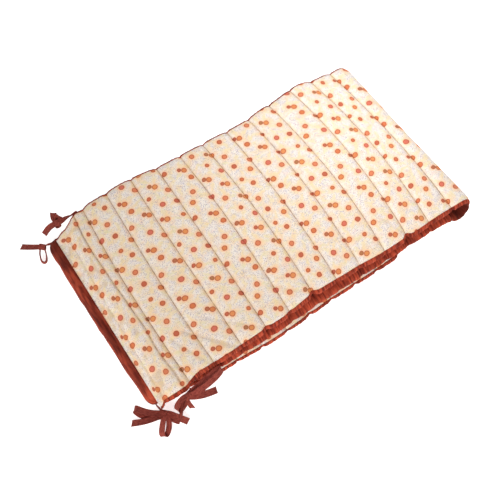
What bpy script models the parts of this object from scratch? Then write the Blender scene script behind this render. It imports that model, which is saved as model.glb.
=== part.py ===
"""A crib bumper: a long pad quilted crosswise in channels, folded in three like a Z, with tape ties.

The front is printed cotton and the back is crinkled gauze, which wraps round both long sides.
X runs along the folded pile, Y across it, from the near side to the far one, and Z is up.
"""

import math
from collections import namedtuple

import bmesh
import bpy
from mathutils import Vector

MM = 0.001

# The pad laid flat
CHANNEL = 46.5 * MM
CHANNELS = 38
END_FLANGE = 16.5 * MM
PRINT_WIDTH = 330 * MM

# The thickness of the pad, each half measured from its middle plane
SEAM_HALF = 4.2 * MM
CROWN_HALF = 9.0 * MM
FLANGE_HALF = 1.8 * MM
CROWN_FULLNESS = 3.2
CROWN_UNEVENNESS = 0.05
PANEL_GAP = 0.3 * MM

# All the channels wander a little along the pad on their way across it
WANDER = 0.8 * MM
WANDER_ALONG = 2.2
WANDER_ACROSS = 4.4

# The slack crease in the print, in the first channel of the top layer, as channels from its seam
CREASE_AT = 0.62
CREASE_REACH = 0.13
CREASE_DEPTH = 2.8 * MM

# The rounded long sides. The near one lies fuller than the far one.
SIDE_ROUND = 16 * MM
SIDE_STANDS = {"near": 5.5 * MM, "far": 3.0 * MM}
SIDES_DRAWN_IN = {"near": 1.5 * MM, "far": 0.5 * MM}
SHOULDER_FALL = 0.7
HAUNCH_IN = 0.3

# The folded pile
LAYER_SPACING = 20.2 * MM
BOTTOM_MIDDLE = 8.2 * MM
TOP_RUN = 596 * MM
MIDDLE_RUN = 557 * MM
OUTER_BEND_RADIUS = 16 * MM
OUTER_BEND_EXTRA = math.radians(25)
THROAT_RADIUS = 30 * MM
INNER_BEND_SQUASH = 0.62
BEND_STEP = 6.5 * MM
LEAST_STEP = 2.5 * MM

# Where each channel is sampled, as parts of its length from one seam to the next
CHANNEL_STEPS = (0.0, 0.11, 0.32, 0.68, 0.89)

# The tape ties
TIE_WIDTH = 11 * MM
TIE_THICKNESS = 1.6 * MM
TIE_CLEARANCE = 0.4 * MM
TIE_STEPS = 12
STEM_STEPS = 6
LOOP_BOW = 0.62
KNOT_GRIP = 2.5 * MM
KNOT_RADII = (8.0 * MM, 7.5 * MM, 6.5 * MM)

PRINT_COLOUR = (0.86, 0.77, 0.67)
GAUZE_COLOUR = (0.40, 0.075, 0.035)
TIE_COLOUR = (0.24, 0.047, 0.039)

# How the long edges of the print lie in the pile, in millimetres: "at" counts channels from the first
# seam, "near" and "far" are the two edges, and "lift" moves the middle plane up or down.
Lie = namedtuple("Lie", "at near far lift")
LIES = (
    Lie(-0.36, -15, 315, -7.5),
    Lie(0.0, -11, 322, -4.5),
    Lie(0.7, -12, 334, -0.8),
    Lie(1.4, -4, 338, 0.0),
    Lie(2.6, -5, 340, 0.2),
    Lie(4.6, -4, 331, 0.4),
    Lie(6.0, 2, 329, 0.0),
    Lie(7.6, 0, 326, 0.2),
    Lie(9.0, -4, 331, 0.2),
    Lie(10.3, -4, 337, 0.0),
    Lie(11.4, -3, 328, 0.0),
    Lie(12.4, -4, 324, 0.0),
    Lie(13.7, -14, 314, 0.0),
    Lie(14.6, -9, 320, 0.0),
    Lie(16.5, -8, 328, 0.0),
    Lie(20.0, -7, 331, 0.0),
    Lie(21.7, -9, 331, 0.0),
    Lie(24.0, -7, 330, 0.0),
    Lie(26.4, 4, 321, 0.0),
    Lie(27.0, 4, 320, 0.0),
    Lie(29.7, -9, 325, 0.0),
    Lie(31.6, -13, 327, 0.0),
    Lie(34.2, -9, 328, 0.0),
    Lie(36.8, -10, 327, 0.0),
    Lie(37.3, -3, 327, 0.0),
    Lie(38.4, 1, 326, -6.0),
)

# How far the seams of the top layer have slid along the pad, in millimetres, at the near edge, in the
# middle and at the far edge. "at" counts channels as above.
Slide = namedtuple("Slide", "at near middle far")
SLIDES = (
    Slide(-0.36, 0, 0, 0),
    Slide(0.0, -4, -3, 5),
    Slide(1.0, -6, -7, -1),
    Slide(2.0, -4, -6, -1),
    Slide(3.0, -1, -1, 2),
    Slide(4.0, 0, 3, 2),
    Slide(6.0, 0, 8, 1),
    Slide(8.0, 0, 10, 1),
    Slide(10.0, 2, 17, 4),
    Slide(12.0, 2, 14, 5),
    Slide(15.0, 0, 0, 0),
)

# How far each half turn of the pile lies askew along X, in millimetres, and how far that reaches past it.
Skew = namedtuple("Skew", "near middle far reach")
SKEWS = (Skew(0, -9, -15, 110), Skew(3.5, -1.5, -2.5, 90))

# The folded middle line: each row is a straight run, then a turn about a radius (left is positive).
Fold = namedtuple("Fold", "name run turn radius")


def throat_run():
    """The straight run that brings the loop of the outer bend back up to the spacing of the layers."""
    loop_drop = OUTER_BEND_RADIUS * (1 + math.cos(OUTER_BEND_EXTRA))
    ease_rise = THROAT_RADIUS * (1 - math.cos(OUTER_BEND_EXTRA))
    return (loop_drop - ease_rise - LAYER_SPACING) / math.sin(OUTER_BEND_EXTRA)


FOLDS = (
    Fold("top layer and outer bend", TOP_RUN, -math.pi - OUTER_BEND_EXTRA, OUTER_BEND_RADIUS),
    Fold("throat of the outer bend", throat_run(), OUTER_BEND_EXTRA, THROAT_RADIUS),
    Fold("middle layer and left bend", MIDDLE_RUN, math.pi, LAYER_SPACING / 2),
)
FLAT_LENGTH = CHANNELS * CHANNEL + 2 * END_FLANGE


def eased(part):
    part = min(max(part, 0.0), 1.0)
    return part * part * (3 - 2 * part)


def between_rows(rows, along):
    """The numbers of a table at a distance along the flat pad, in metres."""
    at = (along - END_FLANGE) / CHANNEL
    for low, high in zip(rows, rows[1:]):
        if at <= high.at:
            break
    part = eased((at - low.at) / (high.at - low.at))
    return [MM * (a + (b - a) * part) for a, b in zip(low[1:], high[1:])]


def lie_at(along):
    """The edges and the lift of the print at a distance along the flat pad."""
    return between_rows(LIES, along)


def middle_line(along):
    """(x, z, heading) of the middle line at a distance along the flat pad."""
    x, z, heading = -END_FLANGE, BOTTOM_MIDDLE + 2 * LAYER_SPACING, 0.0
    for fold in FOLDS:
        run = min(along, fold.run)
        x, z = x + run * math.cos(heading), z + run * math.sin(heading)
        along -= run
        if along <= 0:
            return x, z, heading
        sign = math.copysign(1.0, fold.turn)
        turned = min(along / fold.radius, abs(fold.turn)) * sign
        centre_x = x - sign * fold.radius * math.sin(heading)
        centre_z = z + sign * fold.radius * math.cos(heading)
        along -= abs(turned) * fold.radius
        heading += turned
        x = centre_x + sign * fold.radius * math.sin(heading)
        z = centre_z - sign * fold.radius * math.cos(heading)
        if along <= 0:
            return x, z, heading
    return x + along * math.cos(heading), z + along * math.sin(heading), heading


def bends():
    """(start, end, which half is inside) of each half turn, as distances along the flat pad."""
    start, found = 0.0, []
    for fold in FOLDS:
        start += fold.run
        end = start + abs(fold.turn) * fold.radius
        if abs(fold.turn) > math.pi / 2:
            found.append((start, end, "gauze" if fold.turn < 0 else "print"))
        start = end
    return found


def left_fold_at():
    """The middle of the left fold, as a count of channels from the first seam."""
    start, end, _ = bends()[1]
    return ((start + end) / 2 - END_FLANGE) / CHANNEL


def puff(along):
    """How far a point is raised from seam to crown, from 0 at a seam to 1 at the middle of a channel."""
    at = (along - END_FLANGE) / CHANNEL
    if at <= 0 or at >= CHANNELS:
        return 0.0
    return 1 - abs(2 * (at % 1.0) - 1) ** CROWN_FULLNESS


def half_thickness(along, half):
    """The thickness of one half of the pad, its own bend's squash and the thin end flanges included."""
    at = (along - END_FLANGE) / CHANNEL
    uneven = 1 + CROWN_UNEVENNESS * math.sin(2.4 * math.floor(at) + (1.0 if half == "print" else 3.0))
    thick = SEAM_HALF + (CROWN_HALF * uneven - SEAM_HALF) * puff(along)
    for start, end, inside in bends():
        if half == inside:
            middle, reach = (start + end) / 2, (end - start) / 2
            away = (abs(along - middle) - reach) / (CHANNEL / 2)
            thick *= INNER_BEND_SQUASH + (1 - INNER_BEND_SQUASH) * eased(away)
    if half == "print":
        thick -= CREASE_DEPTH * (1 - eased(abs(at - CREASE_AT) / CREASE_REACH))
    past_seam = max(-at, at - CHANNELS) * CHANNEL / END_FLANGE
    return thick + (FLANGE_HALF - SEAM_HALF) * eased(past_seam)


def side_stand(along, side):
    """How far the gauze of a long side stands out past the print's edge."""
    return SIDE_STANDS[side] - SIDES_DRAWN_IN[side] * (1 - puff(along))


def roundness(inset):
    """Share of the full thickness at a distance in from the outermost side."""
    return math.sqrt(1 - max(0.0, 1 - inset / SIDE_ROUND) ** 2)


def across_pad(near, middle, far, across):
    """A number that is given at the near edge, in the middle and at the far edge, eased between them."""
    part = across / PRINT_WIDTH
    return near + (far - near) * part + (4 * middle - 2 * near - 2 * far) * part * (1 - part)


def drift(along, across):
    """How far a channel has drifted along the pad, at a distance across it."""
    at, part = (along - END_FLANGE) / CHANNEL, across / PRINT_WIDTH
    slide = across_pad(*between_rows(SLIDES, along), across)
    return WANDER * math.sin(WANDER_ALONG * at + WANDER_ACROSS * part) + slide


def askew(along, across):
    """How far a point is moved along X by the skew of the half turns near it."""
    moved = 0.0
    for (start, end, _), skew in zip(bends(), SKEWS):
        away = (abs(along - (start + end) / 2) - (end - start) / 2) / (skew.reach * MM)
        moved += MM * across_pad(*skew[:3], across) * (1 - eased(away))
    return moved


def placed(along, across, up):
    """A point of the folded pad: distance along it, y, and height over its middle plane."""
    x, z, heading = middle_line(along + drift(along, across))
    x += askew(along, across) - up * math.sin(heading)
    z += lie_at(along)[2] + up * math.cos(heading)
    return Vector((x, across, max(z, 0.0)))


def shoulders(along):
    """Each long side: the print's edge, the way out, the stand, the shoulder's height and the way in to
    the full thickness."""
    thick = half_thickness(along, "print")
    for side, edge, out in zip(("near", "far"), lie_at(along), (-1, 1)):
        stand = side_stand(along, side)
        yield edge, out, stand, thick * roundness(stand), SIDE_ROUND - SIDE_STANDS[side]


def print_ring(along):
    thick = half_thickness(along, "print")
    inner = PANEL_GAP / 2
    (near, _, _, near_up, near_rise), (far, _, _, far_up, far_rise) = shoulders(along)
    low, high = near + near_rise, far - far_rise
    outline = [(near, inner), (near, near_up)]
    outline += [(low + (high - low) * part, thick) for part in (0, 0.25, 0.5, 0.75, 1)]
    outline += [(far, far_up), (far, inner)]
    return [placed(along, y, up) for y, up in outline]


def gauze_ring(along):
    thick = half_thickness(along, "gauze")
    sides = []
    for edge, out, stand, shoulder, rise in shoulders(along):
        haunch = HAUNCH_IN * stand
        # From the seam of the print, round the outside, to the flat of the back
        sides.append([
            (edge + out * PANEL_GAP, -PANEL_GAP / 2),
            (edge + out * PANEL_GAP, shoulder),
            (edge + out * (stand - haunch), shoulder * SHOULDER_FALL),
            (edge + out * stand, 0.0),
            (edge + out * (stand - haunch), -thick * roundness(haunch)),
            (edge, -thick * roundness(stand)),
            (edge - out * rise, -thick),
        ])
    near, far, _ = lie_at(along)
    outline = sides[0] + [((near + far) / 2, -thick)] + sides[1][::-1]
    return [placed(along, y, up) for y, up in outline]


def stations():
    """Distances along the flat pad at which the rings stand: the channels' steps, and more in bends."""
    found = {0.0, FLAT_LENGTH}
    for channel in range(CHANNELS):
        found |= {END_FLANGE + (channel + step) * CHANNEL for step in CHANNEL_STEPS}
    found.add(END_FLANGE + CHANNELS * CHANNEL)
    found |= {END_FLANGE + (CREASE_AT + side * CREASE_REACH) * CHANNEL for side in (-1, 0, 1)}
    for start, end, _ in bends():
        steps = math.ceil((end - start) / BEND_STEP)
        for i in range(steps + 1):
            extra = start + (end - start) * i / steps
            if min(abs(extra - other) for other in found) > LEAST_STEP:
                found.add(extra)
    return sorted(found)


def material(name, colour, roughness):
    made = bpy.data.materials.new(name)
    made.use_nodes = True
    shader = made.node_tree.nodes["Principled BSDF"]
    shader.inputs["Base Color"].default_value = (*colour, 1.0)
    shader.inputs["Roughness"].default_value = roughness
    shader.inputs["Metallic"].default_value = 0.0
    return made


def new_object(name, shape, finish=None):
    mesh = bpy.data.meshes.new(name)
    bmesh.ops.recalc_face_normals(shape, faces=shape.faces)
    shape.to_mesh(mesh)
    shape.free()
    mesh.shade_smooth()
    mesh.set_sharp_from_angle(angle=math.radians(50))
    made = bpy.data.objects.new(name, mesh)
    bpy.context.scene.collection.objects.link(made)
    if finish:
        mesh.materials.append(finish)
    return made


def lofted(rings):
    """A closed body through rings with the same count of points."""
    shape = bmesh.new()
    rows = [[shape.verts.new(point) for point in ring] for ring in rings]
    for low, high in zip(rows, rows[1:]):
        for i in range(len(low)):
            j = (i + 1) % len(low)
            shape.faces.new((low[i], low[j], high[j]))
            shape.faces.new((low[i], high[j], high[i]))
    ends = [shape.faces.new(rows[0]), shape.faces.new(rows[-1][::-1])]
    bmesh.ops.triangulate(shape, faces=ends)
    return shape


# One strand of a bow, from the middle of its knot to its tip. "tip" is in millimetres from the knot.
# A loop goes out and back, and its "mouth" is the widest space between its legs. A tail goes out
# only, and its mouth is how far it bows. "roll" turns the tape about the way to the tip: at 0 it lies
# flat, at 90 it stands on its edge. "swing" carries the middle of the strand to its left.
Strand = namedtuple("Strand", "kind tip mouth roll swing")
# A tie's root is at a count of channels from the first seam. It is "up" from the middle plane, and
# "beside" is how much of the pad's side on each hand it has to stand clear of, both in millimetres.
# "knot" is in millimetres from the root, and "roll" is how the stem lies where it meets the knot.
Tie = namedtuple("Tie", "name at side up beside knot roll strands")
TIES = (
    Tie("tie_top_near", 0.89, "near", -1, 0.6, (-10, -8, 1), 60, (
        Strand("loop", (68, 7, 3), 12, 45, -1.5),
        Strand("tail", (46, -14, -15), 4, 15, -3),
        Strand("loop", (-26, -8, -11), 12, 25, 0),
        Strand("tail", (-2, -19, -15), 2, 60, 0),
        Strand("tail", (-28, -21, -23), 2, 60, 0),
    )),
    Tie("tie_fold_near", left_fold_at(), "near", 0, 6, (5.6, -21, 5), 60, (
        Strand("loop", (-39, 37, -12), 14, 16, 6),
        Strand("loop", (-22, -27, -15), 14, 31, 2),
        Strand("tail", (-54, 21, -20), 3, 20, 5),
        Strand("loop", (15, -21, -14), 11, -12, 0),
        Strand("tail", (25, -28, -19), -2, 25, 0),
    )),
    Tie("tie_top_far", 0.8, "far", -1, 0.6, (-38, 4, -9), -15, (
        Strand("tail", (4, 26, -3), 2, 20, 3),
        Strand("tail", (-30, -1, -8), 2, -10, -3),
        Strand("loop", (10, 13, 2), 6, 60, 0),
    )),
    Tie("tie_fold_far", left_fold_at(), "far", 0, 6, (-16, 2, 4), 60, (
        Strand("tail", (-32, 27, -11), 3, 10, 3),
        Strand("loop", (-12, -22, -14), 9, 80, 0),
    )),
)


def tape_ways(onward, roll_degrees):
    """The level way left of a tape, the way its width lies, and the way its face looks."""
    level = Vector((-onward.y, onward.x, 0.0)).normalized()
    roll = math.radians(roll_degrees)
    up = Vector((0, 0, 1))
    return level, level * math.cos(roll) + up * math.sin(roll), up * math.cos(roll) - level * math.sin(roll)


def strand_centres(strand):
    """Points along the middle of a strand's tape, and the way its width lies."""
    tip = Vector(strand.tip) * MM
    reach = Vector((tip.x, tip.y, 0.0))
    onward = reach.normalized()
    level, width_way, open_way = tape_ways(onward, strand.roll)
    points = []
    for i in range(TIE_STEPS + 1):
        part = i / TIE_STEPS
        if strand.kind == "loop":
            out = 0.5 - 0.5 * math.cos(2 * math.pi * part)
            bow = LOOP_BOW * strand.mouth * MM * math.sin(2 * math.pi * part) * math.sqrt(out)
            bow += TIE_THICKNESS * math.cos(math.pi * part)
        else:
            out = part
            bow = strand.mouth * MM * math.sin(math.pi * part)
        fall = Vector((0, 0, tip.z * out**1.5))
        aside = level * strand.swing * MM * math.sin(math.pi * out)
        points.append(reach * out - onward * KNOT_GRIP + fall + aside + open_way * bow)
    return points, width_way


def tape(points, width_ways):
    """A closed ribbon along the points, kept above the floor."""
    rings = []
    for i, (point, width_way) in enumerate(zip(points, width_ways)):
        ahead = (points[min(i + 1, len(points) - 1)] - points[max(i - 1, 0)]).normalized()
        wide = (width_way - ahead * width_way.dot(ahead)).normalized()
        thick = ahead.cross(wide)
        ring = []
        for a, b in ((-1, -1), (1, -1), (1, 1), (-1, 1)):
            corner = point + wide * (a * TIE_WIDTH / 2) + thick * (b * TIE_THICKNESS / 2)
            corner.z = max(corner.z, (b + 1) * TIE_THICKNESS / 2)
            ring.append(corner)
        rings.append(ring)
    return lofted(rings)


def root_of(tie):
    """Where a tie comes out of the side seam, clear of the sides of the channels beside it."""
    along = END_FLANGE + tie.at * CHANNEL
    out = -1 if tie.side == "near" else 1
    edge = 0 if tie.side == "near" else 1
    nearby = [along + tie.beside * MM * step / 3 for step in range(-3, 4)]
    face = max(out * lie_at(place)[edge] + side_stand(place, tie.side) for place in nearby)
    stand_off = TIE_CLEARANCE + TIE_THICKNESS / 2
    return placed(along, out * (face + stand_off), tie.up * MM)


def tie_object(tie, finish):
    root = root_of(tie)
    knot = root + Vector(tie.knot) * MM
    lump = bmesh.new()
    bmesh.ops.create_icosphere(lump, subdivisions=1, radius=1.0)
    bmesh.ops.scale(lump, vec=KNOT_RADII, verts=lump.verts)
    bmesh.ops.translate(lump, vec=knot, verts=lump.verts)
    made = new_object(tie.name, lump, finish)
    out = Vector((0, -1 if tie.side == "near" else 1, 0))
    steps = [eased(i / STEM_STEPS) for i in range(STEM_STEPS + 1)]
    stem = [root.lerp(knot, part) + out * MM * math.sin(math.pi * part) for part in steps]
    upright, turned = Vector((0, 0, 1)), tape_ways(knot - root, tie.roll)[1]
    pieces = [("stem", tape(stem, [upright.lerp(turned, part) for part in steps]))]
    for number, strand in enumerate(tie.strands):
        points, width_way = strand_centres(strand)
        ribbon = tape([knot + point for point in points], [width_way] * len(points))
        pieces.append((f"{strand.kind}_{number}", ribbon))
    for name, shape in pieces:
        guide = new_object(f"{tie.name}_{name}", shape)
        guide.hide_render = True
        guide.display_type = "WIRE"
        union = made.modifiers.new(name, "BOOLEAN")
        union.operation = "UNION"
        union.solver = "EXACT"
        union.object = guide
    return made


def stand_on_origin():
    """Parents every piece to one empty, moved so that the pile's box stands centred on the origin."""
    bpy.context.view_layer.update()
    graph = bpy.context.evaluated_depsgraph_get()
    corners = []
    pieces = [piece for piece in bpy.context.scene.objects if not piece.hide_render]
    for piece in pieces:
        corners += [vert.co.copy() for vert in piece.evaluated_get(graph).data.vertices]
    pile = bpy.data.objects.new("pile", None)
    bpy.context.scene.collection.objects.link(pile)
    for axis in range(2):
        low, high = (pick(corner[axis] for corner in corners) for pick in (min, max))
        pile.location[axis] = -(low + high) / 2
    for piece in list(bpy.context.scene.objects):
        if piece != pile:
            piece.parent = pile


for old in list(bpy.data.objects):
    bpy.data.objects.remove(old, do_unlink=True)

places = stations()
print_cotton = material("printed cotton", PRINT_COLOUR, 0.85)
gauze = material("crinkled gauze", GAUZE_COLOUR, 0.9)
tie_tape = material("tie tape", TIE_COLOUR, 0.9)
new_object("print_panel", lofted([print_ring(place) for place in places]), print_cotton)
new_object("gauze_panel", lofted([gauze_ring(place) for place in places]), gauze)
for tie in TIES:
    tie_object(tie, tie_tape)
stand_on_origin()
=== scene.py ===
import math
from collections import namedtuple

import bpy
import numpy as np
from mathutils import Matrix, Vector


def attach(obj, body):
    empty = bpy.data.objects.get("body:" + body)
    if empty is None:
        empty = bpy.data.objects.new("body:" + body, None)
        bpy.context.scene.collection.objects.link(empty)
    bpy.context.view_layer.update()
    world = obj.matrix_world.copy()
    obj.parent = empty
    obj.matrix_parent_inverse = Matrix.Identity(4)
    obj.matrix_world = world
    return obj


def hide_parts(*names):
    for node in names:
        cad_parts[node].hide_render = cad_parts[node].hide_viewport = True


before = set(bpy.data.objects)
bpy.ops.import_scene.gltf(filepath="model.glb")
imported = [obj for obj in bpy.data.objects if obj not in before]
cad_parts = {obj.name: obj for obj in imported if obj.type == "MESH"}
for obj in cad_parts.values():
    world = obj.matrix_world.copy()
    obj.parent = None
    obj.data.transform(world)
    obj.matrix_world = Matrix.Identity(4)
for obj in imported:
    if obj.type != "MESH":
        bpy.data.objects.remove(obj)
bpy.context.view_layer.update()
MM = 0.001

# ---- The studio ----
# A pale sweep that the folded bumper lies on, seen from above its near left corner. A wide window lights
# it from the left, and a small soft lamp stands over its right part.
# The lens and the place of the camera were fitted to the ends of the quilting seams in the picture.
CAMERA_AIM = Vector((-25.2, -32.7, 51.5)) * MM
CAMERA_AZIMUTH, CAMERA_HEIGHT, CAMERA_AWAY = math.radians(-33.736), math.radians(67.35), 1225.7 * MM
SENSOR_WIDTH, LENS = 36.0, 54.44
backwards = Vector((
    math.sin(CAMERA_AZIMUTH) * math.cos(CAMERA_HEIGHT),
    -math.cos(CAMERA_AZIMUTH) * math.cos(CAMERA_HEIGHT),
    math.sin(CAMERA_HEIGHT),
))
camera = bpy.data.objects.new("camera", bpy.data.cameras.new("camera"))
camera.data.sensor_width, camera.data.lens = SENSOR_WIDTH, LENS
camera.location = CAMERA_AIM + backwards * CAMERA_AWAY
camera.rotation_euler = backwards.to_track_quat("Z", "Y").to_euler()
bpy.context.scene.collection.objects.link(camera)
bpy.context.scene.camera = camera
bpy.context.scene.view_settings.view_transform = "Standard"


class Dye:
    """A value on its way through a finish. Sums on it add Math nodes, and node() adds any other node."""

    def __init__(self, finish, socket=None):
        self.finish, self.socket = finish, socket

    def node(self, kind, sockets=(), out=0, stops=(), **settings):
        made = self.finish.node_tree.nodes.new(kind)
        for name, value in settings.items():
            setattr(made, name, value)
        if stops:
            while len(made.color_ramp.elements) < len(stops):
                made.color_ramp.elements.new(0.5)
            for element, (place, colour) in zip(made.color_ramp.elements, stops):
                element.position, element.color = place, (*colour, 1.0)
        for key, value in dict(sockets).items():
            if isinstance(value, Dye):
                self.finish.node_tree.links.new(value.socket, made.inputs[key])
            else:
                made.inputs[key].default_value = value
        return Dye(self.finish, made.outputs[out])

    def sum(self, operation, *values):
        return self.node("ShaderNodeMath", enumerate(values), operation=operation)

    def vector(self, operation, *values, out=0):
        return self.node("ShaderNodeVectorMath", enumerate(values), out=out, operation=operation)

    def noise(self, where, size, detail=2.0, out=0):
        """Noise over the places given, finer as size grows; out 1 is its colour."""
        return self.node("ShaderNodeTexNoise", {"Vector": where, "Scale": size, "Detail": detail}, out=out)

    def over(self, covered):
        """The higher of this mask and another, which may be None for a mask that starts here."""
        return self if covered is None else self.sum("MAXIMUM", covered, self)

    def between(self, low, high, start=0.0, end=1.0):
        """This value taken from low..high to start..end, with soft ends."""
        sockets = {0: self, 1: low, 2: high, 3: start, 4: end}
        return self.node("ShaderNodeMapRange", sockets, interpolation_type="SMOOTHSTEP")

    def mixed(self, plain, dyed):
        """One colour turning into another as this value goes from 0 to 1."""
        plain, dyed = ((*colour, 1.0) if isinstance(colour, tuple) else colour for colour in (plain, dyed))
        return self.node("ShaderNodeMix", {0: self, 6: plain, 7: dyed}, out=2, data_type="RGBA")

    def __add__(self, other):
        return self.sum("ADD", self, other)

    def __sub__(self, other):
        return self.sum("SUBTRACT", self, other)

    def __rsub__(self, other):
        return self.sum("SUBTRACT", other, self)

    def __mul__(self, other):
        return self.sum("MULTIPLY", self, other)

    __radd__, __rmul__ = __add__, __mul__


def new_finish(name, roughness, sheen=0.0):
    """A matt finish, and the dye that its nodes start from."""
    finish = bpy.data.materials.new(name)
    finish.use_nodes = True
    shader = finish.node_tree.nodes["Principled BSDF"]
    shader.inputs["Roughness"].default_value = roughness
    shader.inputs["Specular IOR Level"].default_value = 0.15
    shader.inputs["Sheen Weight"].default_value = sheen
    shader.inputs["Sheen Roughness"].default_value = 0.5
    return finish, shader, Dye(finish)


def link(finish, dye, socket):
    finish.node_tree.links.new(dye.socket, socket)


def emboss(finish, relief, strength, depth, shader):
    """Lets a relief from 0 to 1 stand out of a finish, depth metres high."""
    bump = relief.node("ShaderNodeBump", {"Strength": strength, "Distance": depth, "Height": relief})
    link(finish, bump, shader.inputs["Normal"])


def new_piece(name, points, faces, finish, cloth=None, painted_shade=None):
    """A smooth mesh object at the origin.

    cloth is (along, across) for each point, kept as its UV map, and painted_shade is how deep in painted
    shade each point lies, for a crease, a pit or a hollow, from 0 to 1."""
    mesh = bpy.data.meshes.new(name)
    mesh.from_pydata(points, [], faces)
    if cloth is not None:
        corners = np.empty(len(mesh.loops), np.int32)
        mesh.loops.foreach_get("vertex_index", corners)
        layer = mesh.uv_layers.new(name="cloth")
        layer.data.foreach_set("uv", np.asarray(cloth, np.float32)[corners].ravel())
    # A point attribute for painted shade: how much the finish darkens each point.
    if painted_shade is not None:
        shade = mesh.attributes.new("painted_shade", "FLOAT", "POINT")
        shade.data.foreach_set("value", painted_shade.ravel().astype(np.float32))
    mesh.materials.append(finish)
    mesh.shade_smooth()
    made = bpy.data.objects.new(name, mesh)
    bpy.context.scene.collection.objects.link(made)
    return made


FLOOR_REACH, FLOOR_RISE, FLOOR_FLARE, RIM_POINTS = 6.0, 2.0, 1.2, 48
FLOOR_GLOW, ROOM_LIGHT = 0.7, 0.28
WHITE = (1.0, 1.0, 1.0, 1.0)
sweep, shader, dye = new_finish("pale sweep", 0.9)
grain = dye.noise(dye.node("ShaderNodeTexCoord", out=3), 3.0)
link(sweep, grain.mixed((0.94, 0.94, 0.94), (0.96, 0.96, 0.96)), shader.inputs["Base Color"])
shader.inputs["Emission Color"].default_value = WHITE
shader.inputs["Emission Strength"].default_value = FLOOR_GLOW
rim = [(FLOOR_REACH * math.cos(turn), FLOOR_REACH * math.sin(turn))
       for turn in (i * math.pi / (RIM_POINTS / 2) for i in range(RIM_POINTS))]
points = [(x, y, 0.0) for x, y in rim] + [(FLOOR_FLARE * x, FLOOR_FLARE * y, FLOOR_RISE) for x, y in rim]
faces = [list(range(RIM_POINTS))]
for i in range(RIM_POINTS):
    onward = (i + 1) % RIM_POINTS
    faces.append((i, RIM_POINTS + i, RIM_POINTS + onward, onward))
floor = new_piece("floor", points, faces, sweep)

world = bpy.data.worlds.new("soft room")
world.use_nodes = True
world.node_tree.nodes["Background"].inputs["Color"].default_value = WHITE
world.node_tree.nodes["Background"].inputs["Strength"].default_value = ROOM_LIGHT
bpy.context.scene.world = world

Lamp = namedtuple("Lamp", "name place aim size power tint")
LAMPS = (
    Lamp("window_left", (-1.2, -1.2, 1.5), (0.0, 0.0, 0.0), 0.8, 28.0, (1.0, 0.96, 0.90)),
    Lamp("overhead_right", (0.30, 0.10, 0.50), (0.30, 0.10, 0.0), 0.35, 1.7, (0.98, 1.0, 1.04)),
)
for lamp in LAMPS:
    light = bpy.data.objects.new(lamp.name, bpy.data.lights.new(lamp.name, "AREA"))
    light.data.shape, light.data.size, light.data.energy = "DISK", lamp.size, lamp.power
    light.data.color, light.location = lamp.tint, lamp.place
    light.rotation_euler = (Vector(lamp.place) - Vector(lamp.aim)).to_track_quat("Z", "Y").to_euler()
    light.visible_camera = False
    bpy.context.scene.collection.objects.link(light)


# ---- The printed front ----
# Cotton percale, sewn to the back through thin wadding in crosswise channels, then folded in a Z.
# It puffs up between the seams, and its first channel is creased where the pile turns down. The gauze
# back is built on the same sizes, in millimetres, and PILE_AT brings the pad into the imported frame.
CHANNEL, CHANNELS = 46.5, 38
END_FLANGE, PRINT_WIDTH = 16.5, 330.0
FLAT_LENGTH = CHANNELS * CHANNEL + 2 * END_FLANGE
SEAM_HALF, CROWN_HALF, FLANGE_HALF = 4.2, 9.0, 1.8
CROWN_FULLNESS, CROWN_UNEVENNESS = 5.0, 0.05
PANEL_GAP = 0.3
SIDE_ROUND = 16.0
SIDE_STANDS, SIDES_DRAWN_IN = {"near": 5.5, "far": 4.2}, {"near": 1.2, "far": 1.4}
LAYER_SPACING, BOTTOM_MIDDLE = 20.2, 8.2
INNER_BEND_SQUASH = 0.62
ROLLED_OUT, GAUZE_ROLLED_UNDER = 2.4, 0.6
WANDER, WANDER_ALONG, WANDER_ACROSS = 0.8, 2.2, 4.4
PILE_AT = Vector((-262.536, -157.737, 0.0))

# How the long edges of the print lie, in millimetres: "at" counts channels from the first seam, and
# "lift" moves the middle of the pad up or down.
Lie = namedtuple("Lie", "at near far lift")
LIES = (
    Lie(-0.36, -15, 315, -7.5), Lie(0.0, -11, 322, -4.5), Lie(0.7, -12, 334, -0.8),
    Lie(1.4, -4, 338, 0.0), Lie(2.6, -5, 340, 0.2), Lie(4.6, -4, 331, 0.4),
    Lie(6.0, 2, 329, 0.0), Lie(7.6, 0, 326, 0.2),
    Lie(9.0, -4, 331, 0.2), Lie(10.3, -4, 337, 0.0), Lie(11.4, -3, 328, 0.0), Lie(12.4, -4, 324, 0.0),
    Lie(13.7, -14, 314, 0.0), Lie(14.6, -9, 320, 0.0), Lie(16.5, -8, 328, 0.0), Lie(20.0, -7, 331, 0.0),
    Lie(21.7, -9, 331, 0.0), Lie(24.0, -7, 330, 0.0), Lie(26.4, 4, 321, 0.0), Lie(27.0, 4, 320, 0.0),
    Lie(29.7, -9, 325, 0.0), Lie(31.6, -13, 327, 0.0), Lie(34.2, -9, 328, 0.0), Lie(36.8, -10, 327, 0.0),
    Lie(37.3, -3, 327, 0.0), Lie(38.4, 1, 326, -6.0),
)

# How far the seams of the top layer have slid along the pad, at the near edge, in the middle and at
# the far edge, and how far each half turn of the pile lies askew there, in millimetres.
Slide = namedtuple("Slide", "at near middle far")
SLIDES = (
    Slide(-0.36, 0, 0, 0), Slide(0.0, -4, -3, 5), Slide(1.0, -6, -7, -1), Slide(2.0, -4, -6, -1),
    Slide(3.0, -1, -1, 2), Slide(4.0, 0, 3, 2), Slide(6.0, 0, 8, 1), Slide(8.0, 0, 10, 1),
    Slide(10.0, 2, 17, 4), Slide(12.0, 2, 14, 5), Slide(15.0, 0, 0, 0),
)
Skew = namedtuple("Skew", "near middle far reach")
OUTER_SKEW, LEFT_SKEW = Skew(0, -9, -15, 110), Skew(3.5, -1.5, -2.5, 90)

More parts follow.
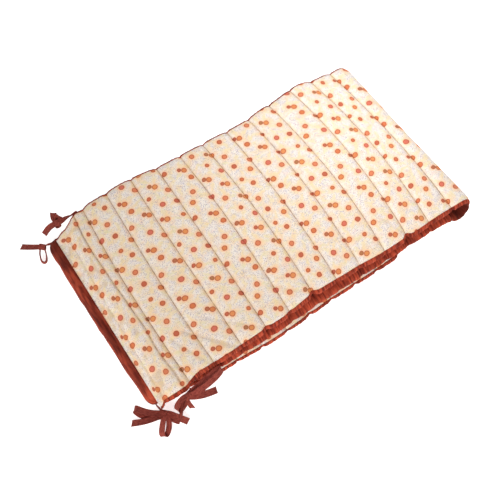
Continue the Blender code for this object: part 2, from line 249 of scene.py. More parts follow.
# The folded middle line: each row is a straight run, then a turn about a radius (left is positive).
# The outer fold turns past level, so a short run and a turn back bring the pad onto the next layer.
Fold = namedtuple("Fold", "run turn radius")
TOP_RUN, MIDDLE_RUN = 596.0, 557.0
PAST_LEVEL, OUTER_RADIUS, TURN_BACK_RADIUS = math.radians(25), 16.0, 30.0
outer_drop = OUTER_RADIUS * (1 + math.cos(PAST_LEVEL)) - TURN_BACK_RADIUS * (1 - math.cos(PAST_LEVEL))
FOLDS = (
    Fold(TOP_RUN, -math.pi - PAST_LEVEL, OUTER_RADIUS),
    Fold((outer_drop - LAYER_SPACING) / math.sin(PAST_LEVEL), PAST_LEVEL, TURN_BACK_RADIUS),
    Fold(MIDDLE_RUN, math.pi, LAYER_SPACING / 2),
)


def eased(part):
    """A part from 0 to 1, with soft ends."""
    part = np.clip(part, 0.0, 1.0)
    return part * part * (3 - 2 * part)


def rows_at(rows, along):
    """The columns of a table, eased from row to row, at distances along the flat pad."""
    at, rows = (along - END_FLANGE) / CHANNEL, np.array(rows, float)
    low = np.clip(np.searchsorted(rows[:, 0], at) - 1, 0, len(rows) - 2)
    part = eased((at - rows[low, 0]) / (rows[low + 1, 0] - rows[low, 0]))
    return [rows[low, k] + (rows[low + 1, k] - rows[low, k]) * part for k in range(1, rows.shape[1])]


def middle_line(spare=3.0, step=0.1):
    """Distances along the flat pad, and the x, z and heading of its middle line at each."""
    along = np.arange(-spare, FLAT_LENGTH + spare, step)
    heading, start = np.zeros_like(along), 0.0
    for fold in FOLDS:
        start += fold.run
        turned = np.clip((along - start) / fold.radius, 0, abs(fold.turn))
        heading += math.copysign(1, fold.turn) * turned
        start += abs(fold.turn) * fold.radius
    halfway = (heading[1:] + heading[:-1]) / 2
    x = along[0] - END_FLANGE + np.concatenate([[0], np.cumsum(np.cos(halfway) * step)])
    z = BOTTOM_MIDDLE + 2 * LAYER_SPACING + np.concatenate([[0], np.cumsum(np.sin(halfway) * step)])
    return along, x, z, heading


MIDDLE_LINE = middle_line()
OUTER_BEND = (FOLDS[0].run, FOLDS[0].run + abs(FOLDS[0].turn) * FOLDS[0].radius)
left_start = OUTER_BEND[1] + FOLDS[1].run + FOLDS[1].turn * FOLDS[1].radius + FOLDS[2].run
LEFT_BEND = (left_start, left_start + math.pi * FOLDS[2].radius)


def beyond(along, bend):
    """How far a place lies outside a bend, and under 0 inside it."""
    return np.abs(along - sum(bend) / 2) - (bend[1] - bend[0]) / 2


def from_seam(along):
    """The distance to the nearest quilting seam."""
    at = np.clip((along - END_FLANGE) / CHANNEL, 0, CHANNELS)
    return np.abs(at - np.round(at)) * CHANNEL + np.abs(along - END_FLANGE - at * CHANNEL)


def puff(along):
    """How full a channel is: 0 at its seams and 1 along its crown."""
    at = (along - END_FLANGE) / CHANNEL
    inside = (at > 0) & (at < CHANNELS)
    return np.where(inside, 1 - np.abs(2 * (at % 1.0) - 1) ** CROWN_FULLNESS, 0.0)


def half_thickness(along, inner_bend, uneven_from):
    """From the pad's middle to one face, squashed inside a bend and thin in the end flanges."""
    at = (along - END_FLANGE) / CHANNEL
    uneven = 1 + CROWN_UNEVENNESS * np.sin(2.4 * np.floor(at) + uneven_from)
    thick = SEAM_HALF + (CROWN_HALF * uneven - SEAM_HALF) * puff(along)
    flattened = 1 - eased(beyond(along, inner_bend) / (CHANNEL / 2))
    thick = thick * (1 - (1 - INNER_BEND_SQUASH) * flattened)
    past_seam = np.maximum(-at, at - CHANNELS) * CHANNEL / END_FLANGE
    return thick + (FLANGE_HALF - SEAM_HALF) * eased(past_seam)


def rolled_out(along):
    """How far the lowest layer's print rolls out over its near side, as a pale line under the others."""
    at = (along - END_FLANGE) / CHANNEL
    return ROLLED_OUT * eased((at - 27.8) / 1.5) * eased((37.2 - at) / 1.5)


def side_stand(along, side):
    """How far the gauze of a long side stands out past the print's edge."""
    stand = SIDE_STANDS[side] - SIDES_DRAWN_IN[side] * (1 - puff(along))
    return stand - GAUZE_ROLLED_UNDER * rolled_out(along) * (side == "near")


def roundness(inset):
    """The round of a long side, from 0 at its outermost place to 1 where the pad is full."""
    return np.sqrt(1 - np.clip(1 - inset / SIDE_ROUND, 0, 1) ** 2)


def across_pad(near, middle, far, across):
    """A number given at the near edge, in the middle and at the far edge, eased between them."""
    part = across / PRINT_WIDTH
    return near + (far - near) * part + (4 * middle - 2 * near - 2 * far) * part * (1 - part)


def drift(along, across):
    """How far the cloth has slid along the pad, with a slight wander of its seams."""
    at = (along - END_FLANGE) / CHANNEL
    wander = WANDER * np.sin(WANDER_ALONG * at + WANDER_ACROSS * across / PRINT_WIDTH)
    return wander + across_pad(*rows_at(SLIDES, along), across)


# The free end of the top layer is not cut quite straight: millimetres across, and further in along it.
END_WAVES = (
    (-15, 1.8), (106, 1.7), (130, 0.4), (157, 1.4), (175, 0.6), (212, 0.2), (232, 3.0), (256, 0.6),
    (291, 4.7), (305, 3.0), (317, -1.2))


def placed(along, across, up):
    """Points of the folded pad in metres, from distances along and across it and over its middle."""
    moved = along + drift(along, across)
    x, z, heading = (np.interp(moved, MIDDLE_LINE[0], MIDDLE_LINE[k]) for k in (1, 2, 3))
    for bend, skew in ((OUTER_BEND, OUTER_SKEW), (LEFT_BEND, LEFT_SKEW)):
        x = x + across_pad(*skew[:3], across) * (1 - eased(beyond(along, bend) / skew.reach))
    waves = np.interp(across, *np.array(END_WAVES).T) * (1 - eased(along / END_FLANGE))
    x = x + waves - up * np.sin(heading)
    z = np.maximum(z + rows_at(LIES, along)[2] + up * np.cos(heading), 0.0)
    return (np.stack(np.broadcast_arrays(x, across, z), axis=-1) + np.array(PILE_AT)) * MM


def crumple(along, across, long, wide, seed):
    """Smooth uneven hills from -1 to 1, "long" by "wide" millimetres each."""
    hills = np.random.default_rng(seed).uniform(-1, 1, (97, 89))
    u, v = along / long + 31.0, across / wide + 31.0
    i, j = np.floor(u).astype(int), np.floor(v).astype(int)
    a, b = eased(u - i), eased(v - j)
    low = hills[i % 97, j % 89] * (1 - b) + hills[i % 97, (j + 1) % 89] * b
    high = hills[(i + 1) % 97, j % 89] * (1 - b) + hills[(i + 1) % 97, (j + 1) % 89] * b
    return low * (1 - a) + high * a


# The tacks that draw the near edge in hardest, as channels from the first seam and millimetres.
TACKS = ((4, 3.0), (5, 1.2), (6, 4.5), (10, 5.5), (29, 2.0), (33, 1.5))


def long_edges(along):
    """The near and the far edge of the print, drawn in a little at each seam and more at the tacks."""
    near, far, _ = rows_at(LIES, along)
    gathered = np.exp(-((from_seam(along) / 4.5) ** 2))
    near, far = near + 0.9 * gathered, far - 0.4 * gathered
    for at, depth in TACKS:
        near = near + depth * np.exp(-(((along - END_FLANGE - at * CHANNEL) / 6.5) ** 2))
    return near - rolled_out(along), far


def lofted_faces(rings, size):
    """Faces of a closed skin through rings of one size, with its two ends closed."""
    faces = []
    for ring in range(rings - 1):
        low, high = ring * size, (ring + 1) * size
        faces += [(low + i, low + (i + 1) % size, high + (i + 1) % size, high + i) for i in range(size)]
    last = (rings - 1) * size
    return faces + [tuple(range(size))[::-1], tuple(range(last, last + size))]


# Creases in the print, as channels from the first seam and millimetres across: soft troughs.
Crease = namedtuple("Crease", "at across depth width")
CREASES = (
    Crease((0.57, 0.52, 0.53, 0.60, 0.63, 0.68, 0.70, 0.735, 0.745, 0.68, 0.69, 0.74, 0.72),
           (330, 292, 260, 224, 195, 168, 142, 113, 98, 67, 44, 21, -14), 3.6, 2.6),
    Crease((1.74, 2.20, 2.98), (62, 36, -12), 2.6, 3.0),
    Crease((2.06, 2.37, 2.79), (48, 22, -6), 2.2, 2.4),
    Crease((1.29, 1.62, 1.90), (60, 25, -8), 1.9, 2.8),
    Crease((2.5, 3.1, 3.9), (64, 34, -2), 1.8, 3.0),
    Crease((4.9, 5.4, 5.95), (52, 26, 4), 1.8, 2.6),
    Crease((5.9, 6.05, 6.2), (30, 14, 2), 1.6, 2.6),
    Crease((6.9, 7.0, 7.15), (20, 10, 0), 1.4, 2.6),
    Crease((9.5, 9.75, 9.95), (44, 20, -2), 1.6, 2.6),
    Crease((10.05, 10.3, 10.8), (-2, 22, 48), 1.4, 2.6),
)


def creased(along, across):
    """How deep the creases are at each place."""
    depth = np.zeros_like(along + across)
    for crease in CREASES:
        at, ys = np.array(crease.at), np.array(crease.across, float)
        order = np.argsort(ys)
        middle = END_FLANGE + CHANNEL * np.interp(across, ys[order], at[order])
        slope = abs(np.gradient(at * CHANNEL, ys)).max()
        away = (along - middle) / math.hypot(1, slope)
        inside = eased((across - ys.min()) / 8 + 1) * eased((ys.max() - across) / 8 + 1)
        depth = np.maximum(depth, crease.depth * np.exp(-((away / crease.width) ** 2)) * inside)
    return depth


# Rings of points in each channel: close together on the top layer, and fewer on the layers under it.
FINE_STEPS = (0, 0.5, 1.1, 1.9, 3, *range(5, 42, 2), 42.7, 44, 45, 45.8)
COARSE_STEPS = (0, 0.6, 1.6, 3.2, 6, 11, 18, 25.5, 32, 38, 42.5, 45)
TOP_CHANNELS = 13
FLANGE_STEPS, LAST_STEPS = (0.0, 4.0, 8.0, 12.0, 14.5), (0.0, 2.0, 4.5, 8.5, 12.5)
EDGE_PARTS, POINTS_ACROSS = np.array((0.0, 0.08, 0.2, 0.38, 0.64, 1.0)), 122
SEAM_GROOVE, PUCKER, UNEVEN_FILL, CRINKLE_HEIGHT = 1.7, 0.6, 0.45, 0.75
Hills = namedtuple("Hills", "long wide seed")
CRINKLES = Hills(6.5, 10.0, 21)


def crinkled(along):
    """How crinkled the print lies: the piece from the free end to the long crease was never pressed."""
    return 1 - eased((along - END_FLANGE - 0.38 * CHANNEL) / (0.3 * CHANNEL))


def front_height(along, across, near, far):
    """How high the print stands over the middle of the pad, with its seams, puckers and creases."""
    inset = np.minimum(across - near, far - across)
    round_near = roundness(side_stand(along, "near") + across - near)
    round_far = roundness(side_stand(along, "far") + far - across)
    flat = eased(inset / 14.0)
    gap = from_seam(along)
    up = half_thickness(along, LEFT_BEND, 1.0) * np.minimum(round_near, round_far)
    sewn_in = 0.35 + 0.65 * eased((along - END_FLANGE) / CHANNEL)
    up = up - SEAM_GROOVE * np.exp(-gap / 1.2) * (0.4 + 0.6 * flat) * sewn_in
    up = up - PUCKER * (0.5 + crumple(along, across, 60.0, 9.0, 5)) * np.exp(-((gap - 3.0) / 4.0) ** 2)
    up = up + UNEVEN_FILL * puff(along) * crumple(along, across, 26.0, 48.0, 8) * flat
    up = up + CRINKLE_HEIGHT * crinkled(along) * crumple(along, across, *CRINKLES) * flat
    return np.maximum(up - creased(along, across) * (0.5 + 0.5 * flat), PANEL_GAP)


places = set(FLANGE_STEPS)
for channel in range(CHANNELS):
    steps = FINE_STEPS if channel < TOP_CHANNELS else COARSE_STEPS
    places |= {END_FLANGE + channel * CHANNEL + step for step in steps}
seam_end = END_FLANGE + CHANNELS * CHANNEL
places |= {seam_end + step for step in LAST_STEPS} | {FLAT_LENGTH}
along = np.array(sorted(places))[:, None]
near, far = long_edges(along)
near_in = near + EDGE_PARTS * (SIDE_ROUND - SIDE_STANDS["near"])
far_in = far - EDGE_PARTS[::-1] * (SIDE_ROUND - SIDE_STANDS["far"])
middle = near_in[:, -1:] + (far_in[:, :1] - near_in[:, -1:]) * np.linspace(0, 1, POINTS_ACROSS)[None, 1:-1]
across = np.concatenate([near_in, middle, far_in], axis=1)
up = front_height(along, across, near, far)
lower = np.broadcast_to(PANEL_GAP / 2, near.shape)
ring_across = np.concatenate([near, across, far], axis=1)
ring_up = np.concatenate([lower, up, lower], axis=1)
ring_along = np.broadcast_to(along, ring_across.shape)
points = placed(ring_along, ring_across, ring_up).reshape(-1, 3)
cloth = np.stack([ring_along, ring_across], axis=-1).reshape(-1, 2) * MM
# Painted shade: in the creases, and in the pits of the crinkles near the free end.
painted_shade = creased(ring_along, ring_across) / max(crease.depth for crease in CREASES)
pits = eased(-1.6 * crumple(ring_along, ring_across, *CRINKLES))
painted_shade = np.maximum(painted_shade, 0.7 * crinkled(ring_along) * pits)
print_faces = lofted_faces(len(along), ring_across.shape[1])

# The print: orange berries, single and in pairs, in watery yellow halos with sprays of pale leaves, on
# a finely stippled warm white. It is a charted repeat of its own, in millimetres.
REPEAT_LONG, REPEAT_WIDE = 112.0, 98.0
Berry = namedtuple("Berry", "long wide size tone halo")
BERRIES = (
    Berry(8, 14, 3.6, 0.2, 0.5), Berry(15, 9.5, 4.7, 0.6, 1.0), Berry(41, 24, 4.7, 0.9, 0.9),
    Berry(64, 14, 3.8, 0.0, 0.4), Berry(71, 9, 4.7, 0.7, 1.0), Berry(96, 22, 4.4, 0.4, 0.7),
    Berry(25, 40, 4.8, 1.0, 0.8), Berry(52, 49, 3.6, 0.3, 0.5), Berry(59, 44.5, 4.8, 0.8, 1.0),
    Berry(84, 38, 3.7, 0.5, 0.6), Berry(107, 47, 4.6, 0.6, 0.9), Berry(5, 64, 4.5, 0.9, 0.7),
    Berry(32, 73, 3.8, 0.1, 0.4), Berry(38.5, 68.5, 4.7, 0.6, 1.0), Berry(66, 72, 4.6, 1.0, 0.7),
    Berry(88, 66, 4.6, 0.3, 0.9), Berry(18, 90, 4.7, 0.5, 0.6), Berry(52, 93, 3.8, 0.4, 0.8),
    Berry(86, 91, 4.6, 0.9, 0.8),
)
Leaf = namedtuple("Leaf", "long wide angle length width tone")
LEAVES = (
    Leaf(13, 21, 70, 10, 3.6, 0.2), Leaf(2, 4, 215, 9, 3.4, 0.8), Leaf(26, 14, 15, 10, 3.4, 0.4),
    Leaf(43, 36, 95, 10, 3.8, 0.1), Leaf(52, 20, -25, 9, 3.4, 0.9), Leaf(75, 22, 60, 10, 3.6, 0.3),
    Leaf(60, 24, 130, 9, 3.2, 0.7), Leaf(99, 11, -60, 10, 3.6, 0.5), Leaf(88, 27, 150, 9, 3.4, 0.2),
    Leaf(17, 49, 140, 10, 3.6, 0.6), Leaf(34, 52, 40, 9, 3.4, 0.1), Leaf(60, 57, 85, 10, 3.6, 0.4),
    Leaf(71, 38, -30, 9, 3.4, 0.8), Leaf(92, 50, 60, 10, 3.6, 0.2), Leaf(107, 35, 100, 9, 3.4, 0.6),
    Leaf(5, 76, 110, 10, 3.6, 0.3), Leaf(15, 58, -20, 9, 3.4, 0.9), Leaf(27, 82, 200, 9, 3.4, 0.5),
    Leaf(48, 79, 50, 10, 3.6, 0.2), Leaf(68, 84, 100, 10, 3.6, 0.7), Leaf(76, 61, 35, 9, 3.4, 0.1),
    Leaf(100, 77, 80, 10, 3.6, 0.4), Leaf(80, 79, 150, 9, 3.4, 0.9), Leaf(30, 95, 30, 10, 3.6, 0.3),
    Leaf(42, 98, 170, 9, 3.4, 0.6), Leaf(97, 97, 10, 10, 3.6, 0.2), Leaf(74, 96, 150, 9, 3.2, 0.5),
)
Wash = namedtuple("Wash", "size start end strength tint")
WASHES = (
    Wash(62.0, 0.48, 0.72, 0.8, (0.88, 0.68, 0.40)),
    Wash(95.0, 0.50, 0.70, 0.55, (0.74, 0.68, 0.70)),
    Wash(80.0, 0.52, 0.72, 0.45, (0.92, 0.66, 0.56)),
    Wash(110.0, 0.54, 0.74, 0.5, (0.76, 0.74, 0.50)),
)
Stipple = namedtuple("Stipple", "size cover tint")
STIPPLES = (Stipple(640.0, 0.30, (0.34, 0.30, 0.42)), Stipple(470.0, 0.20, (0.44, 0.27, 0.28)))
BERRY_TONES = ((0.0, (0.42, 0.17, 0.07)), (0.25, (0.50, 0.10, 0.06)), (0.5, (0.66, 0.17, 0.06)),
               (0.75, (0.76, 0.29, 0.09)), (1.0, (0.66, 0.15, 0.10)))
GROUND, LEAF_YELLOW, LEAF_GREEN = (0.88, 0.80, 0.72), (0.92, 0.70, 0.36), (0.76, 0.70, 0.42)
HALO, BLUSH, BERRY_RING = (0.92, 0.65, 0.38), (0.95, 0.56, 0.34), (0.38, 0.06, 0.024)
SEAM_SHADE, SEAM_HIGHLIGHT, SEAM_LINE_AND_SHADOW = (0.72, 0.46, 0.24), (0.97, 0.90, 0.80), (0.32, 0.13, 0.045)
CREASE_SHADE, CREASE_SHADOW_LINE = (0.60, 0.42, 0.26), (0.20, 0.08, 0.035)
printed, shader, dye = new_finish("printed percale", 0.88, sheen=0.04)
cloth_at = dye.node("ShaderNodeUVMap", uv_map="cloth")


def bleed(size, reach, base):
    """The places on the cloth in millimetres, pushed about as paint runs on wet cotton."""
    push = dye.noise(cloth_at, size, out=1)
    return dye.vector("MULTIPLY_ADD", push, (reach,) * 3, base)


cloth_mm = dye.vector("MULTIPLY", cloth_at, (1000.0,) * 3)
painted = bleed(260.0, 1.6, cloth_mm)
watery = bleed(75.0, 15.0, dye.vector("SUBTRACT", cloth_mm, (7.5, 7.5, 7.5)))
half_repeat = (REPEAT_LONG / 2, REPEAT_WIDE / 2, 1000.0)


def to_motif(motif, where):
    """The way from a motif's middle to the nearest one of its repeats."""
    away = dye.vector("SUBTRACT", where, (motif.long, motif.wide, 0.0))
    away = dye.vector("WRAP", away, half_repeat, tuple(-side for side in half_repeat))
    return dye.vector("MULTIPLY", away, (1.0, 1.0, 0.0))


ground = GROUND
for wash in WASHES:
    shifted = dye.vector("ADD", cloth_at, (wash.size / 50, wash.size / 30, 0.0))
    spread = dye.noise(shifted, wash.size).between(wash.start, wash.end)
    ground = (spread * wash.strength).mixed(ground, wash.tint)
for stipple in STIPPLES:
    dots = dye.node("ShaderNodeTexVoronoi", {"Vector": cloth_at, "Scale": stipple.size})
    ground = dots.between(stipple.cover + 0.10, stipple.cover - 0.10).mixed(ground, stipple.tint)
leafy = tone = None
for leaf in LEAVES:
    away, turn = to_motif(leaf, watery), math.radians(leaf.angle)
    way = math.cos(turn), math.sin(turn)
    ahead = dye.vector("DOT_PRODUCT", away, (way[0] / leaf.length, way[1] / leaf.length, 0.0), out=1)
    aside = dye.vector("DOT_PRODUCT", away, (-way[1] / leaf.width, way[0] / leaf.width, 0.0), out=1)
    blade = (1 - ahead * ahead - aside.sum("ABSOLUTE", aside)).between(-0.6, 0.8)
    leafy = blade.over(leafy)
    tone = (blade * leaf.tone).over(tone)
berried = ringed = warmth = halo = blush = None
for berry in BERRIES:
    away = dye.vector("LENGTH", to_motif(berry, painted), out=1)
    body = away.between(berry.size + 0.5, berry.size - 0.5)
    ring = body * away.between(berry.size - 1.9, berry.size - 0.5)
    close = away.between(berry.size + 3.6, berry.size + 0.2)
    wet = dye.vector("LENGTH", to_motif(berry, watery), out=1)
    glow = wet.between(berry.size + 11.0, berry.size - 2.0) * berry.halo
    berried = body.over(berried)
    ringed = ring.over(ringed)
    warmth = (body * berry.tone).over(warmth)
    halo = glow.over(halo)
    blush = close.over(blush)
patchy = dye.noise(cloth_at, 190.0).between(0.25, 0.7)
leaf_colour = tone.mixed(LEAF_YELLOW, LEAF_GREEN)
ground = (leafy * patchy.between(0.0, 0.7, 0.25, 0.7)).mixed(ground, leaf_colour)
ground = (halo * patchy.between(0.0, 0.8, 0.4, 0.95)).mixed(ground, HALO)
ground = (blush * 0.75).mixed(ground, BLUSH)
fruit = warmth.node("ShaderNodeValToRGB", {0: warmth}, stops=BERRY_TONES)
fruit = (ringed * 0.85).mixed(fruit, BERRY_RING)
# The needle holes and the thread draw a thin dark line down each seam, partly painted shadow of the
# groove.
# Painted shade makes the cloth tan where it dips to the line and a painted highlight makes it bright where
# it rises from it, and painted shade darkens the creases and crinkles, under the berries.
seams_at = (dye.node("ShaderNodeSeparateXYZ", {0: cloth_mm}) - END_FLANGE) * (1 / CHANNEL)
seam_gap = seams_at.sum("PINGPONG", seams_at, 0.5) * CHANNEL
past_seam = seams_at.sum("FRACT", seams_at) * CHANNEL
# Noise that breaks up the seam line and the painted seam and crease shade.
broken_lines_and_shade = dye.noise(cloth_at, 150.0, detail=3.0).between(0.36, 0.58, 0.25, 1.0)
sewn_in = broken_lines_and_shade * seams_at.between(0.4, 0.7, 0.25, 1.0)
# How deep in painted shade the mesh lies at each point, in creases and crinkle pits.
hollow = dye.node("ShaderNodeAttribute", attribute_name="painted_shade", out=2)
# Painted shade on the slope down to each seam, and a painted highlight on the slope up from it.
painted_seam_shade = past_seam.between(CHANNEL - 6.0, CHANNEL - 0.5) * sewn_in
painted_seam_highlight = past_seam.between(8.0, 1.5) * sewn_in
ground = (painted_seam_shade * 0.42).mixed(ground, SEAM_SHADE)
ground = (painted_seam_highlight * 0.5).mixed(ground, SEAM_HIGHLIGHT)
# Painted shade in the creases and the crinkle pits.
ground = (hollow.between(0.15, 0.9) * 0.5).mixed(ground, CREASE_SHADE)
colour = (berried * 0.94).mixed(ground, fruit)
# The seam line: needle holes and thread, with painted shadow of the groove.
colour = (seam_gap.between(0.8, 0.2) * sewn_in * 0.65).mixed(colour, SEAM_LINE_AND_SHADOW)
# A painted shadow line down the bottoms of the creases.
colour = (hollow.between(0.72, 0.98) * broken_lines_and_shade * 0.75).mixed(colour, CREASE_SHADOW_LINE)
link(printed, colour, shader.inputs["Base Color"])
gathers = dye.noise(dye.vector("MULTIPLY", cloth_at, (0.22, 1.0, 1.0)), 210.0)
threads = dye.noise(cloth_at, 900.0)
emboss(printed, gathers * seam_gap.between(13.0, 1.0) + threads * 0.12, 0.5, 1.6 * MM, shader)

print_front = new_piece("print_front", points, print_faces, printed, cloth, painted_shade)
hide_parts("print_panel")
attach(print_front, "root")

# ---- The quilting stitches ----
# One row of small lockstitches down each seam, in a rust brown thread that sinks into the cloth.
# A path down each groove carries them, and a short bead with few faces stands for each stitch.
# The first row lies deeper, where the hem is sewn flat.
PATH_POINTS, ROW_ENDS_IN = 84, 3.0
ROW_OVER, FIRST_ROW_SUNK = 0.1, 0.5
seams = END_FLANGE + CHANNEL * np.arange(CHANNELS + 1)[:, None]
near, far = long_edges(seams)
across = near + ROW_ENDS_IN + (far - near - 2 * ROW_ENDS_IN) * np.linspace(0, 1, PATH_POINTS)[None, :]
up = front_height(seams, across, near, far) + (ROW_OVER - FIRST_ROW_SUNK * (seams < END_FLANGE + 1))
paths = placed(np.broadcast_to(seams, across.shape), across, up)
rungs = [(row * PATH_POINTS + i, row * PATH_POINTS + i + 1)
         for row in range(CHANNELS + 1) for i in range(PATH_POINTS - 1)]
guide = bpy.data.meshes.new("quilting_stitches")
guide.from_pydata(paths.reshape(-1, 3), rungs, [])
stitches = bpy.data.objects.new("quilting_stitches", guide)
bpy.context.scene.collection.objects.link(stitches)

thread, shader, dye = new_finish("rust thread", 0.6)
strands = dye.noise(dye.node("ShaderNodeTexCoord", out=3), 2500.0)
link(thread, strands.mixed((0.34, 0.16, 0.07), (0.48, 0.26, 0.12)), shader.inputs["Base Color"])

tree = bpy.data.node_groups.new("rows of stitches", "GeometryNodeTree")
tree.interface.new_socket("Seams", in_out="INPUT", socket_type="NodeSocketGeometry")
tree.interface.new_socket("Stitches", in_out="OUTPUT", socket_type="NodeSocketGeometry")
sizes = {}
for name, size in (("Pitch", 3.3 * MM), ("Length", 2.4 * MM), ("Thickness", 0.45 * MM)):
    asked = tree.interface.new_socket(name, in_out="INPUT", socket_type="NodeSocketFloat")
    sizes[asked.identifier] = size


def grow(kind, sockets=(), **settings):
    """A node of the stitches' tree, with its sockets linked from (node, output) or set to a value."""
    made = tree.nodes.new(kind)
    for name, value in settings.items():
        setattr(made, name, value)
    for key, value in dict(sockets).items():
        if isinstance(value, tuple) and isinstance(value[0], bpy.types.Node):
            tree.links.new(value[0].outputs[value[1]], made.inputs[key])
        else:
            made.inputs[key].default_value = value
    return made


inputs = grow("NodeGroupInput")
lines = grow("GeometryNodeMeshToCurve", {"Mesh": (inputs, "Seams")})
spots = grow("GeometryNodeCurveToPoints", {
    "Curve": (lines, "Curve"), "Length": (inputs, "Pitch")}, mode="LENGTH")
bead = grow("GeometryNodeMeshUVSphere", {"Segments": 6, "Rings": 4, "Radius": 0.5})
onward = grow("FunctionNodeAlignRotationToVector", {"Vector": (spots, "Tangent")}, axis="Z")
pull = grow("FunctionNodeRandomValue", {"Min": 0.82, "Max": 1.1, "Seed": 7}, data_type="FLOAT")
long = grow("ShaderNodeMath", {0: (inputs, "Length"), 1: (pull, "Value")}, operation="MULTIPLY")
shape = grow("ShaderNodeCombineXYZ", {
    "X": (inputs, "Thickness"), "Y": (inputs, "Thickness"), "Z": (long, 0)})
beads = grow("GeometryNodeInstanceOnPoints", {
    "Points": (spots, "Points"), "Instance": (bead, "Mesh"), "Rotation": (onward, 0),
    "Scale": (shape, 0)})
real = grow("GeometryNodeRealizeInstances", {"Geometry": (beads, 0)})
dyed = grow("GeometryNodeSetMaterial", {"Geometry": (real, 0), "Material": thread})
grow("NodeGroupOutput", {"Stitches": (dyed, 0)})
sewn = stitches.modifiers.new("stitches", "NODES")
sewn.node_group = tree
for identifier, size in sizes.items():
    sewn[identifier] = size
bpy.context.view_layer.update()
made = bpy.data.meshes.new_from_object(stitches.evaluated_get(bpy.context.evaluated_depsgraph_get()))
stitches.modifiers.remove(sewn)
stitches.data = made
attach(stitches, "root")

# ---- The gauze back ----
# Crinkled double gauze, wrapped round both long sides up to the print's edge. Its crinkles run across
# the pad, and the quilting and the side seams gather them into ribs.
RIB_PITCH, RIB_SIDE, RIB_BACK = 2.6, 0.5, 0.3
RINGS, TOP_TURN, SIDE_TURN, BACK_POINTS = 1560, 7, 9, 25
# Painted shade over all of the far side.
FAR_SHADE = 0.9
along = np.arange(0.0, FLAT_LENGTH + 0.5, FLAT_LENGTH / RINGS)[:, None]
near, far = long_edges(along)
thick = half_thickness(along, OUTER_BEND, 3.0)


def gauze_side(edge, side, out, seed):
    """One side from the print's edge, round the outside, to the flat of the back: its points across and
    up, and how deep in painted shade each lies. Shade is painted in the pits between ribs, at the gathers
    at the seams, in the hollow of the outer fold and all over the far side."""
    stand = side_stand(along, side)
    shoulder = half_thickness(along, LEFT_BEND, 1.0) * roundness(stand)
    top = np.linspace(0, math.pi / 2, TOP_TURN)[None, :]
    under = np.linspace(0, math.pi / 2, SIDE_TURN)[None, 1:]
    outward = np.concatenate([PANEL_GAP + (stand - PANEL_GAP) * np.sin(top),
                              stand - SIDE_ROUND * (1 - np.cos(under))], axis=1)
    up = np.concatenate([shoulder * np.cos(top), -thick * np.sin(under)], axis=1)
    lean = np.concatenate([np.sin(top), np.cos(under)], axis=1)
    tall = np.concatenate([np.cos(top), -np.sin(under)], axis=1)
    turned = np.concatenate([top, math.pi / 2 + under], axis=1)
    gathered = np.exp(-((from_seam(along) / 7.0) ** 2))
    strength = RIB_SIDE * (0.25 + 0.75 * eased((turned - 0.3) / 0.8)) * (1 + 0.5 * gathered)
    strength = strength * (1 - 0.5 * eased((turned - 2.3) / 0.8))
    ribs = crumple(along, turned * 9.0, RIB_PITCH, 16.0, seed)
    # Painted shade in the hollow of the outer fold, and in the rib pits, the seam gathers and the far
    # side.
    hollow = 1 - eased(beyond(along - 3.0, OUTER_BEND) / 10.0)
    hollow = hollow * eased((turned - 1.25) / 0.4)
    gaped = gathered * eased(0.5 + crumple(along, turned * 9, 9.0, 9.0, seed + 9))
    pits = 0.35 * eased(0.2 - 1.5 * ribs) + 0.45 * gaped + FAR_SHADE * (side == "far")
    ribs = ribs * strength
    return (edge + out * (outward + ribs * lean), np.maximum(up + ribs * tall, -thick - 0.3),
            np.clip(pits * eased(turned / 0.6) + 1.2 * hollow * eased(0.8 + ribs), 0, 1))


near_across, near_up, near_painted_shade = gauze_side(near, "near", -1, 11)
far_across, far_up, far_painted_shade = gauze_side(far, "far", 1, 12)
back_near, back_far = near_across[:, -1:], far_across[:, -1:]
back = back_near + (back_far - back_near) * np.linspace(0, 1, BACK_POINTS)[None, 1:-1]
back_up = -thick + SEAM_GROOVE * 0.7 * np.exp(-from_seam(along) / 1.6)
back_up = back_up + RIB_BACK * crumple(along, back, RIB_PITCH, 40.0, 13)
folded = 1 - eased(beyond(along, LEFT_BEND) / 12.0)
back_up = back_up - folded * (1.3 * crumple(along, back, 24.0, 15.0, 14)
                              + 0.5 * crumple(along, back, 9.0, 60.0, 15))
# Painted shade over the outside of the left fold, deeper in patches.
back_painted_shade = folded * (0.3 + 0.6 * eased(0.2 + 1.2 * crumple(along, back, 8.0, 40.0, 15)))
inner = np.broadcast_to(-PANEL_GAP / 2, near.shape)
ring_across = np.concatenate(
    [near - PANEL_GAP, near_across, back, far_across[:, ::-1], far + PANEL_GAP], axis=1)
ring_up = np.concatenate([inner, near_up, back_up, far_up[:, ::-1], inner], axis=1)
none = np.zeros_like(near)
painted_shade = np.concatenate([none, near_painted_shade, back_painted_shade, far_painted_shade[:, ::-1], none], axis=1)
ring_along = np.broadcast_to(along, ring_across.shape)
points = placed(ring_along, ring_across, ring_up)
around = np.concatenate([np.zeros((len(along), 1)), np.cumsum(
    np.linalg.norm(np.diff(points, axis=1), axis=2), axis=1)], axis=1)
cloth = np.stack([ring_along * MM, around], axis=-1).reshape(-1, 2)
gauze_faces = [face[::-1] for face in lofted_faces(len(along), ring_across.shape[1])]

GAUZE_DARK, TERRACOTTA, GAUZE_BRIGHT = (0.20, 0.024, 0.012), (0.50, 0.075, 0.035), (0.62, 0.13, 0.07)
GAUZE_SHADE = (0.07, 0.008, 0.005)
gauze, shader, dye = new_finish("crinkled gauze", 0.92)
cloth_at = dye.node("ShaderNodeUVMap", uv_map="cloth")
stretched = dye.vector("MULTIPLY", cloth_at, (1.0, 0.12, 1.0))
crinkle = dye.noise(stretched, 420.0, detail=4.0)
streaks = dye.noise(stretched, 300.0)
weave = dye.noise(cloth_at, 1500.0, detail=1.0)
